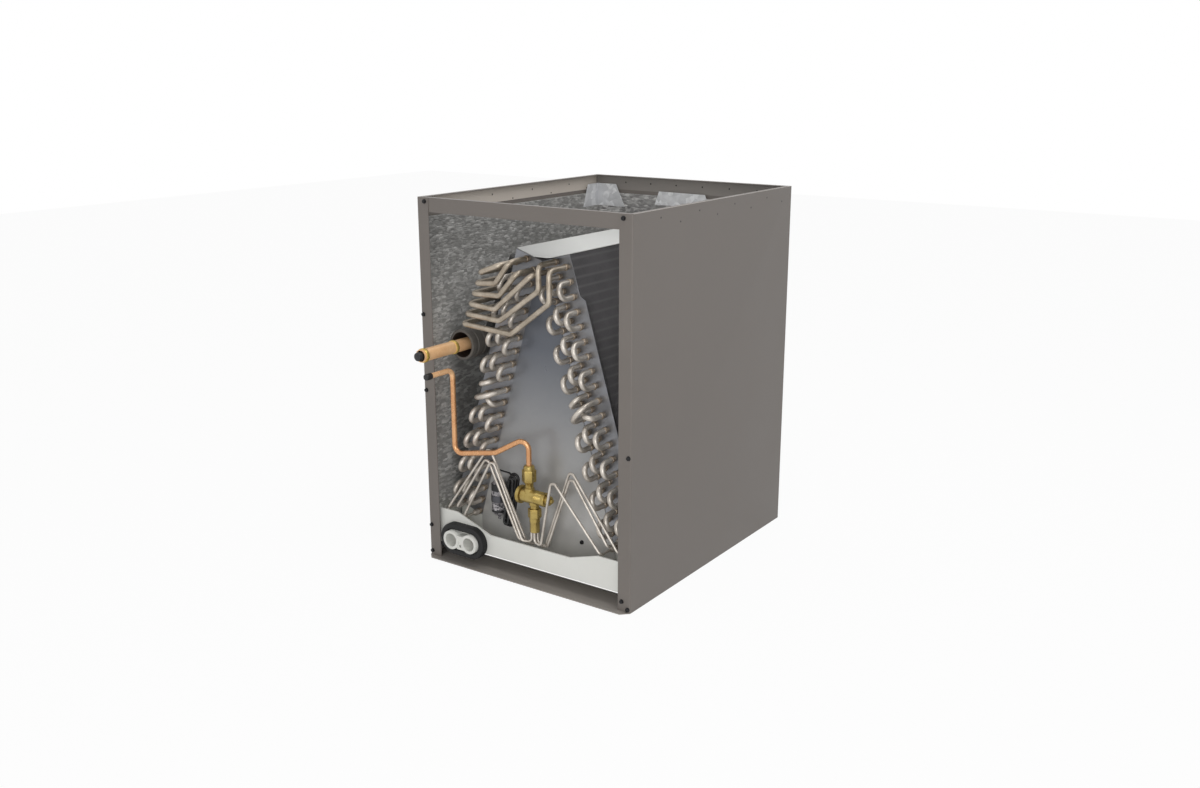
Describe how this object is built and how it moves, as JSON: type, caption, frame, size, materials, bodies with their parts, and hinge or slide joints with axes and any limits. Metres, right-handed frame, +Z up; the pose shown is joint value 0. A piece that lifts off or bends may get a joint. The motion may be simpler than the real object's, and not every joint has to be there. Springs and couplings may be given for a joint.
{
  "type": "cased evaporator coil",
  "caption": "Cased A-shaped evaporator coil with two slanted finned slabs, drain pan, expansion valve and copper line stubs in an open-fronted sheet-metal cabinet.",
  "frame": {"origin": "centre of the air opening in the bottom of the cabinet, in the plane that it stands on", "axes": "+Z up along the air flow, +Y from the open front to the back, +X to the right seen from the front"},
  "size_m": [0.4444, 0.624, 0.66],
  "materials": {
    "cabinet_paint": "fine textured taupe powder coat, satin",
    "foil_liner": "creased reinforced foil facing",
    "fin_aluminium": "thin plain fins, satin",
    "galvanised": "galvanised sheet, faint spangle, satin",
    "black_screw": "black coated, satin",
    "cap_white": "white coated sheet, satin",
    "pan_plastic": "moulded off-white plastic, matte",
    "black_rubber": "matte black",
    "header_wrap": "matte dark foam wrap",
    "plug_plastic": "matte black",
    "copper": "drawn copper, satin",
    "brass": "machined brass, satin",
    "capillary_black": "matte black sleeve",
    "tube_metal": "drawn tube, warm grey, satin"
  },
  "bodies": {
    "root": {"apex_cap": "cap_white", "back_insulation": "foil_liner", "bottom_front_rail": "cabinet_paint", "bulb_clip": "galvanised", "cabinet_screws": "black_screw", "cabinet_wrapper": "cabinet_paint", "capillary_coil": "capillary_black", "delta_screws": "black_screw", "distributor": "brass", "distributor_tube_1": "tube_metal", "distributor_tube_2": "tube_metal", "distributor_tube_3": "tube_metal", "distributor_tube_4": "tube_metal", "distributor_tube_5": "tube_metal", "distributor_tube_6": "tube_metal", "drain_gasket": "black_rubber", "drain_pan": "pan_plastic", "front_delta_plate": "galvanised", "header_cap": "header_wrap", "inlet_nut": "brass", "left_crossover_bends": "tube_metal", "left_fin_pack": "fin_aluminium", "left_front_tube_sheet": "galvanised", "left_hairpin_tubes": "tube_metal", "left_insulation": "foil_liner", "left_pan_rail": "galvanised", "left_rear_tube_sheet": "galvanised", "left_return_bends": "tube_metal", "liquid_line": "copper", "liquid_plug": "plug_plastic", "outlet_nut": "brass", "pan_bosses": "pan_plastic", "pan_opening_rim": "pan_plastic", "pan_ribs": "pan_plastic", "power_head": "brass", "rear_delta_plate": "galvanised", "right_crossover_bends": "tube_metal", "right_fin_pack": "fin_aluminium", "right_front_tube_sheet": "galvanised", "right_hairpin_tubes": "tube_metal", "right_insulation": "foil_liner", "right_pan_rail": "galvanised", "right_rear_tube_sheet": "galvanised", "right_return_bends": "tube_metal", "sensing_bulb": "capillary_black", "suction_boot": "black_rubber", "suction_feeder_1": "tube_metal", "suction_feeder_2": "tube_metal", "suction_feeder_3": "tube_metal", "suction_feeder_4": "tube_metal", "suction_feeder_5": "tube_metal", "suction_feeder_6": "tube_metal", "suction_header": "header_wrap", "suction_plug": "plug_plastic", "suction_rings": "brass", "suction_stub": "copper", "top_front_rail": "cabinet_paint", "valve_body": "brass", "valve_stem": "brass"}
  },
  "joints": []
}
